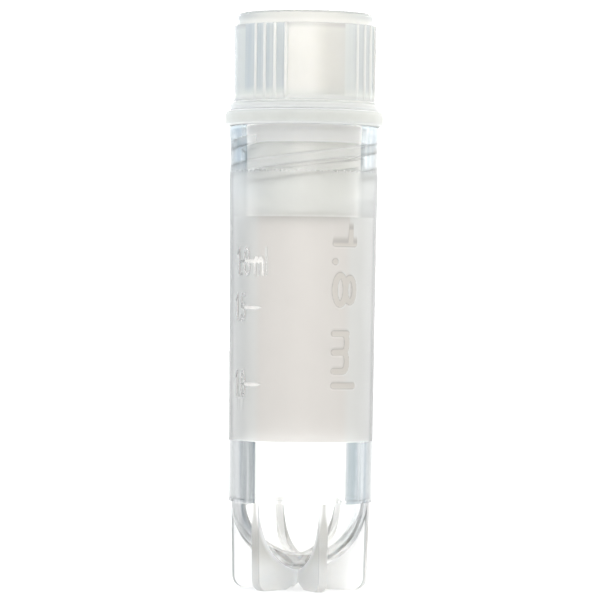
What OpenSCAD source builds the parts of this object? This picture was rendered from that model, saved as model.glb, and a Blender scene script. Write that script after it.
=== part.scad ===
// Cryogenic storage tube for about 1.8 ml: a round-bottomed tube on a star foot, a screw cap
// with a threaded plug, and a soft sealing ring between the two.
// Millimetres. The origin is at the middle of the foot's underside, +Z is up and -Y is the front.
// Turns round the axis are in degrees from the front, positive towards +X.

/* [Tube] */
// Height of the rim above the foot's underside
rim_height = 38.6; // [37:0.1:42]
// Height at which the tapered body ends and the neck begins
body_height = 31.0; // [30:0.1:32]
// Outside diameter of the body at its lower end
body_base_d = 11.94; // [11.7:0.02:12.1]
// Outside diameter of the body at its upper end
body_top_d = 12.32; // [12.2:0.02:12.4]
// Wall of the tapered body
body_wall = 1.02; // [0.9:0.02:1.2]
// Outside diameter of the neck's parallel stretch
neck_d = 12.43; // [12.42:0.01:12.6]
// Wall of the neck
neck_wall = 0.9; // [0.75:0.05:1.0]
// Outside diameter of the rim
rim_d = 12.62; // [12.6:0.02:12.9]
// Height of the parallel band at the rim
rim_band = 0.6; // [0.4:0.1:1]
// Height over which the neck widens to the rim
rim_flare = 0.9; // [0.5:0.1:1.5]
// Rounding of the rim's outer edge
rim_edge_r = 0.25; // [0.1:0.05:0.35]
// Chamfer at the mouth
mouth_chamfer = 0.2; // [0.1:0.05:0.35]

/* [Round bottom] */
// Height of the step where the body ends above the foot
step_height = 7.3; // [6.8:0.1:8]
// Outside diameter of the round bottom
bowl_d = 11.5; // [11.1:0.02:11.54]
// Thickness of the bottom at its lowest point
floor_wall = 1.1; // [0.8:0.05:1.4]
// Height of the fine parting bead that runs round above the step
bead_height = 0.3; // [0.2:0.05:0.6]
// How far the parting bead stands out
bead_relief = 0.05; // [0.02:0.01:0.1]

/* [Star foot] */
// Number of fins
fin_count = 6; // [4:1:8]
// Thickness of a fin
fin_thickness = 0.8; // [0.6:0.05:1.2]
// Turn of the first fin from the front
fin_turn = 20; // [0:1:60]
// Diameter over the fins at the underside
foot_d = 11.28; // [10.8:0.02:11.5]
// Diameter over the fins at the step
foot_top_d = 11.64; // [11.56:0.02:11.66]
// Rounding of each fin's lower outer corner
fin_corner_r = 1.0; // [0.5:0.1:1.5]
// Diameter of the hollow under the middle of the foot
hollow_d = 4.2; // [3:0.1:6]
// Rise of that hollow at the axis
hollow_rise = 0.85; // [0.4:0.05:1.2]

/* [Thread] */
// Axial travel for one full turn
thread_lead = 4.2; // [3.8:0.1:5]
// Number of thread starts
thread_starts = 2; // [1:1:2]
// Turns that each ridge runs round
ridge_turns = 0.86; // [0.5:0.02:1]
// Height of a ridge above its wall
ridge_height = 0.36; // [0.25:0.01:0.4]
// Axial width of a ridge at its root
ridge_root_w = 0.95; // [0.7:0.05:1.1]
// Axial width of a ridge at its crest
ridge_crest_w = 0.5; // [0.3:0.05:0.65]
// Radial gap between a crest and the wall that it faces
thread_clearance = 0.15; // [0.1:0.01:0.2]
// Height of the cap's ridge above the plug's end, where the ridge passes the front
ridge_rise = 3.8; // [3.4:0.05:4]

/* [Graduations] */
// Volumes that are marked, in millilitres
mark_volumes = [1.0, 1.5, 1.8];
// Turn of the middle of the marks from the front
mark_turn = -46; // [-60:1:-30]
// Angle that a mark spans
mark_span = 17; // [8:1:24]
// Axial width of a mark
mark_w = 0.32; // [0.2:0.02:0.5]
// How far a mark stands out
mark_relief = 0.07; // [0.04:0.01:0.12]

/* [Cap] */
// Height of the cap above the sealing ring
cap_height = 8.15; // [7.5:0.05:10]
// Outside diameter of the cap's grip
cap_d = 11.9; // [11.6:0.05:12.2]
// Wall of the grip
cap_wall = 1.25; // [1:0.05:1.5]
// Outside diameter of the smooth crown above the grip
crown_d = 11.38; // [11.1:0.02:11.5]
// Height of the crown
crown_height = 1.05; // [0.8:0.05:1.5]
// Rounding of the crown's upper edge
crown_edge_r = 0.3; // [0.15:0.05:0.4]
// Diameter of the flange that presses on the sealing ring
flange_d = 12.42; // [12.25:0.01:12.7]
// Height of the flange
flange_height = 0.65; // [0.5:0.05:1]
// Rounding of the flange's upper edge
flange_edge_r = 0.24; // [0.1:0.02:0.3]
// Thickness of the partition between the top recess and the plug
partition = 1.3; // [0.9:0.05:1.6]
// Length of the plug below the flange
plug_length = 8.85; // [8.6:0.05:9]
// Wall of the plug
plug_wall = 1.1; // [0.9:0.05:1.3]
// Chamfer at the plug's lower end
plug_chamfer = 0.4; // [0.2:0.05:0.5]

/* [Grip ribs] */
// Number of groups of ribs
rib_groups = 4; // [3:1:5]
// Ribs in a group
ribs_per_group = 4; // [2:1:5]
// Angle from rib to rib
rib_pitch = 9.3; // [8:0.1:12]
// Turn of the middle of the first group from the front
rib_turn = -29.5; // [-45:0.5:0]
// Width of a rib across its round back
rib_w = 0.36; // [0.28:0.02:0.38]
// How far a rib stands out of the grip
rib_relief = 0.15; // [0.12:0.01:0.2]
// Plain band between the flange and the ribs
rib_gap = 0.35; // [0.2:0.05:0.6]

/* [Sealing ring] */
// Outside diameter of the sealing ring
ring_d = 13.2; // [12.95:0.05:13.5]
// Height of the sealing ring
ring_height = 1.25; // [1:0.05:1.5]
// Rounding of the ring's outer edges
ring_edge_r = 0.35; // [0.2:0.05:0.45]
// Radial gap between the ring and the plug
ring_clearance = 0.05; // [0.03:0.01:0.08]

/* [Hidden] */
$fn = 96;

// How far one solid runs past the face that it cuts or joins
overrun = 0.2;

// Radii that follow from the diameters and walls
body_base_r = body_base_d / 2;
body_top_r = body_top_d / 2;
neck_r = neck_d / 2;
rim_r = rim_d / 2;
bowl_r = bowl_d / 2;
bore_base_r = body_base_r - body_wall;
bore_top_r = body_top_r - body_wall;
neck_bore_r = neck_r - neck_wall;
vial_crest_r = neck_bore_r - ridge_height;
plug_r = vial_crest_r - thread_clearance;
plug_crest_r = neck_bore_r - thread_clearance;
plug_bore_r = plug_r - plug_wall;
cap_r = cap_d / 2;
crown_r = crown_d / 2;
recess_r = cap_r - cap_wall;
flange_r = flange_d / 2;
ring_r = ring_d / 2;

// Heights that follow
bowl_floor_z = step_height - bowl_r;
bore_floor_z = bowl_floor_z + floor_wall;
bore_centre_z = bore_floor_z + bore_base_r;
neck_shoulder_z = body_height + neck_bore_r - bore_top_r;
neck_foot_z = body_height + 2.5;
flare_z = rim_height - rim_band - rim_flare;
seal_z = rim_height + ring_height;
top_z = seal_z + cap_height;
crown_z = top_z - crown_height;
recess_floor_z = seal_z + partition;
plug_end_z = seal_z - plug_length;
rib_foot_z = seal_z + flange_height + rib_gap;

// The tube's ridges lie midway between those of the plug
ridge_pitch = thread_lead / thread_starts;
plug_ridge_z = plug_end_z + ridge_rise;
vial_ridge_z = plug_ridge_z + ridge_pitch / 2;

// Steps round a full turn of a ridge, and the share of its run in which it sinks into the wall
ridge_steps = 48;
ridge_fade = 0.12;

// Radius of the body's outside at a height
function body_r(z) = lookup(z, [
    [step_height, body_base_r], [body_height, body_top_r], [neck_foot_z, neck_r]]);

// Height of a liquid of the given volume in the tube: a half ball below a slightly tapered bore
function fill_z(ml) =
    let (slope = (bore_top_r - bore_base_r) / (body_height - bore_centre_z),
         ball = 2 / 3 * PI * pow(bore_base_r, 3),
         cube_r = pow(bore_base_r, 3) + 3 * slope * (1000 * ml - ball) / PI)
    bore_centre_z + (pow(cube_r, 1 / 3) - bore_base_r) / slope;

// Turns what follows to an angle from the front
module at_turn(angle) {
    rotate([0, 0, angle - 90]) children();
}

// The sliver to cut from a square upper corner at (r, z) to round it
module upper_corner(r, z, edge_r) {
    difference() {
        translate([r - edge_r, z - edge_r]) square(edge_r + overrun);
        translate([r - edge_r, z - edge_r]) circle(edge_r);
    }
}

// The sliver to cut from a square lower corner at (r, z) to round it
module lower_corner(r, z, edge_r) {
    difference() {
        translate([r - edge_r, z - overrun]) square(edge_r + overrun);
        translate([r - edge_r, z + edge_r]) circle(edge_r);
    }
}

// One ring of a ridge: four corners, the two at the lower radius first
function ridge_ring(angle, z, low_r, high_r, low_w, high_w) = [
    for (p = [[low_r, -low_w], [high_r, -high_w], [high_r, high_w], [low_r, low_w]])
        [p[0] * cos(angle), p[0] * sin(angle), z + p[1] / 2]];

// A helical ridge on a wall. It passes the front at front_z, and both of its ends sink into the wall.
module ridge(wall_r, crest_r, front_z, first_turn) {
    count = ceil(ridge_steps * ridge_turns);
    outward = crest_r > wall_r ? 1 : -1;
    root_r = wall_r - outward * overrun;
    sunk_r = wall_r - outward * overrun / 2;
    rings = [for (i = [0 : count])
        let (share = i / count,
             turn = first_turn + 360 * ridge_turns * share,
             rise = min(1, share / ridge_fade, (1 - share) / ridge_fade),
             top_r = sunk_r + (crest_r - sunk_r) * rise,
             z = front_z + thread_lead * turn / 360)
        outward > 0
            ? ridge_ring(turn - 90, z, root_r, top_r, ridge_root_w, ridge_crest_w)
            : ridge_ring(turn - 90, z, top_r, root_r, ridge_crest_w, ridge_root_w)];
    sides = [for (i = [0 : count - 1], j = [0 : 3])
        let (a = 4 * i + j, b = 4 * i + (j + 1) % 4)
        each [[a, b, b + 4], [a, b + 4, a + 4]]];
    last = 4 * count;
    ends = [[0, 2, 1], [0, 3, 2], [last, last + 1, last + 2], [last, last + 2, last + 3]];
    polyhedron([for (ring = rings) each ring], concat(sides, ends), convexity = 6);
}

// All the starts of a thread. The first ridge is centred on the front.
module thread(wall_r, crest_r, front_z) {
    for (k = [0 : thread_starts - 1])
        rotate([0, 0, 360 * k / thread_starts])
            ridge(wall_r, crest_r, front_z, -180 * ridge_turns);
}

// Outside of the tube above and including its round bottom
module tube_outside() {
    difference() {
        polygon([
            [0, step_height], [body_base_r + bead_relief, step_height],
            [body_base_r + bead_relief, step_height + bead_height],
            [body_r(step_height + bead_height), step_height + bead_height],
            [body_top_r, body_height], [neck_r, neck_foot_z], [neck_r, flare_z],
            [rim_r, rim_height - rim_band], [rim_r, rim_height], [0, rim_height]]);
        upper_corner(rim_r, rim_height, rim_edge_r);
    }
    intersection() {
        translate([0, step_height]) circle(bowl_r);
        translate([0, bowl_floor_z]) square([bowl_r, bowl_r]);
    }
}

// The space inside the tube
module tube_inside() {
    intersection() {
        translate([0, bore_centre_z]) circle(bore_base_r);
        translate([0, bore_floor_z]) square([bore_base_r, bore_base_r]);
    }
    polygon([
        [0, bore_centre_z], [bore_base_r, bore_centre_z], [bore_top_r, body_height],
        [neck_bore_r, neck_shoulder_z], [neck_bore_r, rim_height - mouth_chamfer],
        [neck_bore_r + mouth_chamfer, rim_height],
        [neck_bore_r + mouth_chamfer, rim_height + overrun], [0, rim_height + overrun]]);
}

// The space that the fins fill when they are turned round the axis
module foot_outside() {
    corner_side_r = (foot_d + (foot_top_d - foot_d) * fin_corner_r / step_height) / 2;
    difference() {
        polygon([[0, 0], [foot_d / 2, 0], [foot_top_d / 2, step_height], [0, step_height]]);
        lower_corner(corner_side_r, 0, fin_corner_r);
    }
}

module star_foot() {
    difference() {
        intersection() {
            rotate_extrude() foot_outside();
            for (i = [0 : fin_count - 1])
                at_turn(fin_turn + 360 * i / fin_count)
                    translate([0, -fin_thickness / 2, 0])
                        cube([foot_top_d, fin_thickness, step_height]);
        }
        translate([0, 0, -overrun])
            cylinder(h = hollow_rise + overrun, r2 = 0,
                     r1 = hollow_d / 2 * (hollow_rise + overrun) / hollow_rise);
    }
}

module graduation(ml) {
    z = fill_z(ml);
    at_turn(mark_turn - mark_span / 2)
        rotate_extrude(angle = mark_span)
            translate([body_r(z) - overrun, z - mark_w / 2])
                square([overrun + mark_relief, mark_w]);
}

module vial() {
    color("whitesmoke") {
        difference() {
            union() {
                rotate_extrude() tube_outside();
                star_foot();
            }
            rotate_extrude() tube_inside();
        }
        thread(neck_bore_r, vial_crest_r, vial_ridge_z);
        for (ml = mark_volumes) graduation(ml);
    }
}

// Half section of the cap: grip, crown, flange and plug round one another
module cap_section() {
    difference() {
        union() {
            translate([0, seal_z]) square([cap_r, crown_z - seal_z]);
            translate([0, seal_z]) square([crown_r, cap_height]);
            translate([0, seal_z]) square([flange_r, flange_height]);
            polygon([
                [0, plug_end_z], [plug_r - plug_chamfer, plug_end_z],
                [plug_r, plug_end_z + plug_chamfer], [plug_r, seal_z], [0, seal_z]]);
        }
        upper_corner(crown_r, top_z, crown_edge_r);
        upper_corner(flange_r, seal_z + flange_height, flange_edge_r);
        translate([0, recess_floor_z]) square([recess_r, cap_height]);
        translate([0, plug_end_z - overrun]) square([plug_bore_r, plug_length + overrun]);
    }
}

module grip_rib(turn) {
    at_turn(turn)
        translate([cap_r + rib_relief - rib_w / 2, 0, rib_foot_z])
            cylinder(h = crown_z - rib_foot_z, d = rib_w, $fn = 32);
}

module cap() {
    color("white") {
        rotate_extrude() cap_section();
        thread(plug_r, plug_crest_r, plug_ridge_z);
        for (g = [0 : rib_groups - 1], i = [0 : ribs_per_group - 1])
            grip_rib(rib_turn + 360 * g / rib_groups + rib_pitch * (i - (ribs_per_group - 1) / 2));
    }
}

module gasket() {
    color("gainsboro")
        rotate_extrude()
            difference() {
                translate([plug_r + ring_clearance, rim_height])
                    square([ring_r - plug_r - ring_clearance, ring_height]);
                upper_corner(ring_r, seal_z, ring_edge_r);
                lower_corner(ring_r, rim_height, ring_edge_r);
            }
}

vial();
cap();
gasket();
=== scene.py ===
import math
from functools import reduce
from types import SimpleNamespace

import bpy
import numpy as np
from bpy.props import FloatProperty, FloatVectorProperty, IntProperty, PointerProperty
from mathutils import Matrix, Vector


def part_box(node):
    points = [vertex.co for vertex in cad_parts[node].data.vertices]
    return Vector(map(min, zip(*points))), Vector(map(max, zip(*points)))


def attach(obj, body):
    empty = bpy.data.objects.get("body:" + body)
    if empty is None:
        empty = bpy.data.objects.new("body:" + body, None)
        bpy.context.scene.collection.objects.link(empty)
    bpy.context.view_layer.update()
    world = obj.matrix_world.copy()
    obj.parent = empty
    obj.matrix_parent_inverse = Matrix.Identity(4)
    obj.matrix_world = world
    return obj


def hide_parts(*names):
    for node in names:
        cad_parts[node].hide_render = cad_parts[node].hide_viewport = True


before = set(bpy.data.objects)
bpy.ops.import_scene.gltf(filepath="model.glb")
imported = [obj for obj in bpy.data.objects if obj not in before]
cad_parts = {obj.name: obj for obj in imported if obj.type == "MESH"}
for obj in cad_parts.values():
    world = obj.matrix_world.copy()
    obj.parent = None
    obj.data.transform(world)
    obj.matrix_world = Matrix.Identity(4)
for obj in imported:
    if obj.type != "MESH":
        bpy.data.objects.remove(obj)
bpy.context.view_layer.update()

bl_info = {
    "name": "Cryovial",
    "version": (1, 0, 0),
    "blender": (4, 5, 0),
    "location": "3D View > Sidebar > Cryovial",
    "description": "Builds the looks of a cryogenic sample tube round its CAD frame",
    "category": "Object",
}

MM = 0.001
VIAL_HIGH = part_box("vial")[1]
RING_LOW, RING_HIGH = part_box("gasket")
RIM_HEIGHT = VIAL_HIGH.z
SEAL_HEIGHT = RING_HIGH.z
TOP_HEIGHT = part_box("cap")[1].z
RING_RADIUS = min(RING_HIGH.x, RING_HIGH.y, -RING_LOW.x, -RING_LOW.y)

# Where the surfaces need a fine grid: heights (from, to), and turns (from, to, step in degrees)
MARK_ZONE = 15.9 * MM, 28.7 * MM
NECK_THREAD_ZONE = 33.4 * MM, 38.3 * MM
PLUG_THREAD_ZONE = 32.3 * MM, 37.3 * MM
SCALE_TURNS = -66, -24, 0.85
VOLUME_TURNS = 16, 47.5, 0.8

# Longest sides of a profile: plain, and where the grid is fine
PLAIN_SIDE = 1.0 * MM
TUBE_SIDE = 1.2 * MM
SHORT_SIDE = 0.5 * MM
MARK_SIDE = 0.1 * MM
NECK_THREAD_SIDE = 0.042 * MM
CAP_FINE_SIDE = 0.05 * MM

# Half of the floor's width in metres, and the camera's sensor in millimetres
FLOOR_HALF = 1.5
SENSOR_WIDTH = 36

# How near a row of the grid is to a wall that it counts as on it
ON_WALL = 0.01 * MM

# The graduations: volume in ml, its figures, their turn past the others' in degrees, how
# tightly they are set, and the line's length against the others'
GRADUATIONS = ((1.0, "1.0", 0, 0.46, 1.0),
               (1.5, "1.5", 0, 0.46, 1.0),
               (1.8, "1.8 ml", 12, 0.55, 1.25))

# Two fills and their heights: ml, mm, ml, mm
KNOWN_FILLS = 1.0, 17.1, 1.5, 23.45


def length(label, text, value, low=0.0):
    """A size in metres, which the sidebar shows in the scene's units."""
    return FloatProperty(name=label, description=text, default=value, min=low,
                         precision=5, unit="LENGTH", subtype="DISTANCE")


def angle(label, text, degrees):
    """A turn, which the sidebar shows in degrees. Turns about the tube's axis count from the
    front towards +X."""
    return FloatProperty(name=label, description=text, default=math.radians(degrees),
                         unit="ROTATION", subtype="ANGLE")


def count(label, text, value):
    """A number of copies."""
    return IntProperty(name=label, description=text, default=value, min=1)


def number(label, text, value, high=1.0):
    """A plain number, such as a roughness."""
    return FloatProperty(name=label, description=text, default=value, min=0.0, max=high)


def tint(label, text, value):
    """A linear colour."""
    return FloatVectorProperty(name=label, description=text, default=value, min=0.0,
                               max=1.0, size=3, subtype="COLOR")


class TubeSizes(bpy.types.PropertyGroup):
    """Sizes of the moulded tube"""
    rim_r: length("Rim radius", "Outside radius of the rim's band", VIAL_HIGH.x)
    neck_r: length("Neck radius", "Outside radius of the neck", 6.215 * MM)
    base_r: length("Base radius", "Outside radius at the bottom of the body", 5.97 * MM)
    shoulder_r: length("Shoulder radius", "Outside radius at the top of the body", 6.16 * MM)
    base_height: length("Base height", "Height of the step under the body", 7.3 * MM)
    shoulder_height: length("Shoulder height", "Height of the body's top", 31.0 * MM)
    bowl_r: length("Bowl radius", "Outside radius of the round bottom", 5.75 * MM)
    bore_r: length("Bore radius", "Inside radius at the bottom of the body", 4.95 * MM)
    bore_top_r: length("Bore top radius", "Inside radius at the top of the body", 5.14 * MM)
    bore_centre: length("Bore centre", "Height of the round bottom's centre", 7.6 * MM)
    neck_bore_r: length("Neck bore radius", "Inside radius of the neck", 5.315 * MM)
    bore_step: length("Bore step", "Height over which the bore widens", 1.5 * MM)
    neck_foot: length("Neck foot", "Height where the outside turns into the neck", 33.5 * MM)
    flare_height: length("Flare height", "Height where the rim's flare starts", 37.1 * MM)
    rim_band: length("Rim band", "Height of the rim's band", 0.6 * MM)
    rim_edge: length("Rim edge", "Rounding of the rim's outer edge", 0.25 * MM)
    mouth_chamfer: length("Mouth chamfer", "Chamfer inside the mouth", 0.2 * MM)
    lip_height: length("Lip height", "Height of the parting lip above the step", 0.3 * MM)
    lip_relief: length("Lip relief", "How far the parting lip stands proud at most", 0.05 * MM)


class FootSizes(bpy.types.PropertyGroup):
    """Sizes of the star foot"""
    plates: count("Plates", "Plates that cross at the axis, two fins each", 3)
    turn: angle("Turn", "Turn of the first fin from the front", 20)
    thickness: length("Thickness", "Thickness of a fin", 0.8 * MM)
    bottom_r: length("Bottom radius", "Radius of the fins' outer edges at the floor", 5.64 * MM)
    top_r: length("Top radius", "Radius of the fins' outer edges at the step", 5.82 * MM)
    corner_r: length("Corner radius", "Rounding of a fin's lower corner", 1.0 * MM)
    hollow_r: length("Hollow radius", "Radius of the hollow under the middle", 2.1 * MM)
    hollow_rise: length("Hollow rise", "Height of the hollow at the axis", 0.85 * MM)
    edge_r: length("Edge rounding", "Rounding of a fin's long edges", 0.1 * MM)


class ThreadSizes(bpy.types.PropertyGroup):
    """Sizes that the thread in the neck and the thread on the plug share"""
    starts: count("Starts", "Number of ridges", 2)
    lead: length("Lead", "Rise in one turn", 4.2 * MM)
    half_sweep: angle("Half sweep", "Half of a ridge's turn round the axis", 154.8)
    height: length("Height", "Height of a ridge above its wall", 0.36 * MM)
    root: length("Root width", "Width of a ridge at its wall", 0.95 * MM)
    crest: length("Crest width", "Width of a ridge at its top", 0.5 * MM)
    neck_level: length("Neck thread level", "Height of the neck's ridge at the front", 35.85 * MM)
    plug_level: length("Plug thread level", "Height of the plug's ridge at the front", 34.8 * MM)


class MarkSizes(bpy.types.PropertyGroup):
    """Sizes of the raised scale and of the raised volume beside it"""
    turn: angle("Scale turn", "Middle of the graduations", -45)
    span: angle("Graduation span", "Sweep of a graduation", 22)
    relief: length("Relief", "How far marks and figures stand proud", 0.07 * MM)
    line: length("Line width", "Width of a graduation", 0.32 * MM)
    figure: length("Figure height", "Height of the scale's figures", 2.1 * MM)
    stroke: length("Figure stroke", "Width of the figures' strokes", 0.26 * MM)
    figure_turn: angle("Figure turn", "Middle of the scale's figures", -57)
    label_turn: angle("Volume turn", "Middle of the tall volume", 34.7)
    label_height: length("Volume height", "Height of the middle of the tall volume", 23.4 * MM)
    label_size: length("Volume size", "Height of the tall volume's letters", 1.95 * MM)
    label_stroke: length("Volume stroke", "Width of the tall volume's strokes", 0.58 * MM)
    label_stretch: number("Volume stretch", "How much wider the tall volume is set", 2.2, 3.0)


class CapSizes(bpy.types.PropertyGroup):
    """Sizes of the screw cap"""
    grip_r: length("Grip radius", "Outside radius of the grip between its ribs", 5.95 * MM)
    crown_r: length("Crown radius", "Outside radius of the crown", 5.69 * MM)
    recess_r: length("Recess radius", "Radius of the recess in the top", 4.7 * MM)
    recess_floor: length("Recess floor", "Height of the recess's floor", 41.15 * MM)
    crown_foot: length("Crown foot", "Height of the shoulder under the crown", 46.95 * MM)
    crown_edge: length("Crown edge", "Rounding of the crown's top edge", 0.3 * MM)
    flange_r: length("Flange radius", "Outside radius of the flange", 6.21 * MM)
    flange_height: length("Flange height", "Thickness of the flange", 0.65 * MM)
    flange_edge: length("Flange edge", "Rounding of the flange's upper edge", 0.24 * MM)
    plug_r: length("Plug radius", "Outside radius of the plug", 4.805 * MM)
    plug_bore_r: length("Plug bore radius", "Inside radius of the plug", 3.705 * MM)
    plug_top: length("Plug top", "How far the flange's plastic shows down the plug", 2.65 * MM)
    plug_end: length("Plug end", "Height of the plug's lower end", 31.0 * MM)
    plug_chamfer: length("Plug chamfer", "Chamfer at the plug's end", 0.4 * MM)
    rib_groups: count("Rib groups", "Groups of grip ribs round the cap", 4)
    rib_count: count("Ribs in a group", "Grip ribs in one group", 4)
    rib_turn: angle("Rib turn", "Middle of the first group of ribs", -29.5)
    rib_pitch: angle("Rib pitch", "Turn from one rib to the next", 9.3)
    rib_foot: length("Rib foot", "Height where the ribs start", 40.85 * MM)
    rib_relief: length("Rib relief", "How far a rib stands proud", 0.15 * MM)
    rib_round: length("Rib rounding", "Radius of a rib", 0.18 * MM)


class RingSizes(bpy.types.PropertyGroup):
    """Sizes of the sealing ring"""
    outside_r: length("Outside radius", "Outside radius of the ring", RING_RADIUS)
    inside_r: length("Inside radius", "Inside radius of the ring", 4.855 * MM)
    edge_r: length("Edge rounding", "Rounding of the outer edges", 0.35 * MM)


class Finishes(bpy.types.PropertyGroup):
    """Colours and finishes"""
    clear: tint("Clear plastic", "Colour of the polished tube", (0.985, 0.98, 0.965))
    # Painted shade on the polished tube where it is seen edgeways, standing in for refracted dark
    # surroundings.
    clear_edge_shade: tint("Clear edge", "Colour of the bare wall seen edgeways", (0.056, 0.078, 0.092))
    neck_edge_shade: tint("Neck edge", "Colour of the neck seen edgeways", (0.10, 0.11, 0.11))
    bowl_edge_shade: tint("Bowl edge", "Colour of the bowl's right side edgeways", (0.42, 0.46, 0.48))
    satin: tint("Satin plastic", "Colour of the etched band", (0.485, 0.463, 0.44))
    # Painted light: the etched band over the plug, against the plug's shade.
    satin_neck_light: tint("Satin neck", "Colour of the etched band over the thread", (0.99, 0.99, 0.97))
    # Painted light and shade at the etched band's edges.
    satin_edge_light_shade: tint("Satin edge", "Colour of the etched band seen edgeways", (0.50, 0.515, 0.505))
    # Painted shade on the raised marks.
    raised_shade_share: tint("Raised share", "Share of the band's colour on marks", (0.82, 0.80, 0.75))
    satin_low: length("Satin foot", "Height where the etched band starts", 12.4 * MM)
    satin_high: length("Satin top", "Height where the etched band ends", 34.9 * MM)
    satin_roughness: number("Satin roughness", "Roughness of the etched band", 0.42)
    fins: tint("Fins", "Colour of the satin fins", (0.98, 0.98, 0.965))
    # Painted shade on the fins: a warmer tone edgeways, greyer rims, darker tops and a dark
    # margin.
    fins_edge_shade: tint("Fins' edge", "Colour of the fins seen edgeways", (0.985, 0.972, 0.93))
    fin_rim_shade: tint("Fin rims", "Colour of the fins' rims", (0.79, 0.778, 0.748))
    fin_top_shade: tint("Fin tops", "Share of its colour that a fin keeps above", (0.58, 0.58, 0.57))
    fin_margin_shade: tint("Fin margin", "Colour of a fin along its outer edge", (0.36, 0.37, 0.37))
    milky: tint("Milky plastic", "Colour of the cap", (0.88, 0.86, 0.82))
    # Painted shade where the cap is seen edgeways.
    milky_edge_shade: tint("Milky edge", "Colour of the cap seen edgeways", (0.70, 0.715, 0.70))
    milky_thick: tint("Thick plastic", "Colour of the cap's flange", (0.64, 0.645, 0.615))
    # Painted light on the flange: its lips, the crease beside the ring and its top.
    flange_lip_light: tint("Flange lip", "Colour of the flange's lower lip", (0.93, 0.935, 0.905))
    flange_crease_light: tint("Flange crease", "Colour beside the sealing ring", (1.0, 1.0, 0.97))
    flange_top_light: tint("Flange top", "Colour of the flange's upper face", (0.84, 0.845, 0.815))
    # Painted shade low on the grip against its highlight, and painted light in the crease above
    # the flange.
    grip_foot_shade: tint("Grip foot", "Colour of the grip above the flange", (0.69, 0.69, 0.665))
    grip_crease_light: tint("Grip crease", "Colour where grip and flange meet", (0.95, 0.95, 0.92))
    # Painted light at the crown's foot, against the shade of the ledge.
    crown_foot_light: tint("Crown base", "Colour of the crown's foot", (0.885, 0.87, 0.835))
    brink: tint("Brink", "Share of its colour that the recess's brink keeps", (0.72, 0.73, 0.73))
    # Painted light on the plug under the flange, against the shade there.
    plug_top: tint("Plug top", "Colour of the plug under the flange", (0.97, 0.97, 0.935))
    plug: tint("Plug", "Colour of the cap's plug", (0.99, 0.99, 0.97))
    # Painted shade where the plug is seen edgeways.
    plug_edge_shade: tint("Plug edge", "Colour of the plug seen edgeways", (0.66, 0.68, 0.675))
    # Painted shade in the flutes between the grip ribs.
    flute_shade: tint("Flutes", "Colour of the cap between its ribs", (0.52, 0.575, 0.61))
    rubber: tint("Silicone", "Colour of the sealing ring", (0.56, 0.565, 0.535))
    # Painted shade on the ring's upper rounding, painted light in the crease under the flange and
    # on its lower rounding.
    ring_lip_shade: tint("Ring lip", "Colour of the ring's upper rounding", (0.45, 0.455, 0.43))
    ring_crease_light: tint("Ring crease", "Colour under the flange", (0.90, 0.905, 0.87))
    ring_foot_light: tint("Ring foot", "Colour of the ring's lower rounding", (0.85, 0.855, 0.82))
    floor: tint("Floor", "Colour of the floor", (0.62, 0.62, 0.62))


class Studio(bpy.types.PropertyGroup):
    """Camera and light"""
    distance: length("Distance", "From the tube's axis to the camera", 0.330)
    eye: length("Eye height", "Height of the camera", 24.1 * MM)
    aside: FloatProperty(name="Aside", description="Camera's offset towards +X",
                         default=-0.0002, unit="LENGTH", subtype="DISTANCE")
    roll: angle("Roll", "Lean of the picture", 0.67)
    lens: FloatProperty(name="Lens", description="Focal length of the camera",
                        default=236.8, min=1, unit="CAMERA")
    power: number("Power", "Strength of the surround", 1.9, 10)
    strip_power: number("Strip power", "How much stronger the upright strip is", 1.1, 10)
    strip_turn: angle("Strip turn", "Turn of the strip from behind towards +X", 67)
    left: tint("Left", "Light from the left", (0.60, 0.65, 0.70))
    right: tint("Right", "Light from the right", (0.87, 0.88, 0.87))
    front_left: tint("Front left", "Light from the camera's left", (0.64, 0.675, 0.715))
    front_right: tint("Front right", "Light from the camera's right", (0.67, 0.675, 0.66))


GROUPS = {"tube": TubeSizes, "foot": FootSizes, "thread": ThreadSizes, "marks": MarkSizes,
          "cap": CapSizes, "ring": RingSizes, "finish": Finishes, "studio": Studio}


class VialSettings(bpy.types.PropertyGroup):
    """Every size and colour of the vial, group by group"""
    tube: PointerProperty(type=TubeSizes, name="Tube", description="Sizes of the tube")
    foot: PointerProperty(type=FootSizes, name="Foot", description="Sizes of the star foot")
    thread: PointerProperty(type=ThreadSizes, name="Thread", description="Sizes of the thread")
    marks: PointerProperty(type=MarkSizes, name="Marks", description="Sizes of the marks")
    cap: PointerProperty(type=CapSizes, name="Cap", description="Sizes of the cap")
    ring: PointerProperty(type=RingSizes, name="Ring", description="Sizes of the ring")
    finish: PointerProperty(type=Finishes, name="Finishes", description="Colours and finishes")
    studio: PointerProperty(type=Studio, name="Studio", description="Camera and light")


# Profiles: polylines of (radius, height) that are turned round the axis

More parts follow.
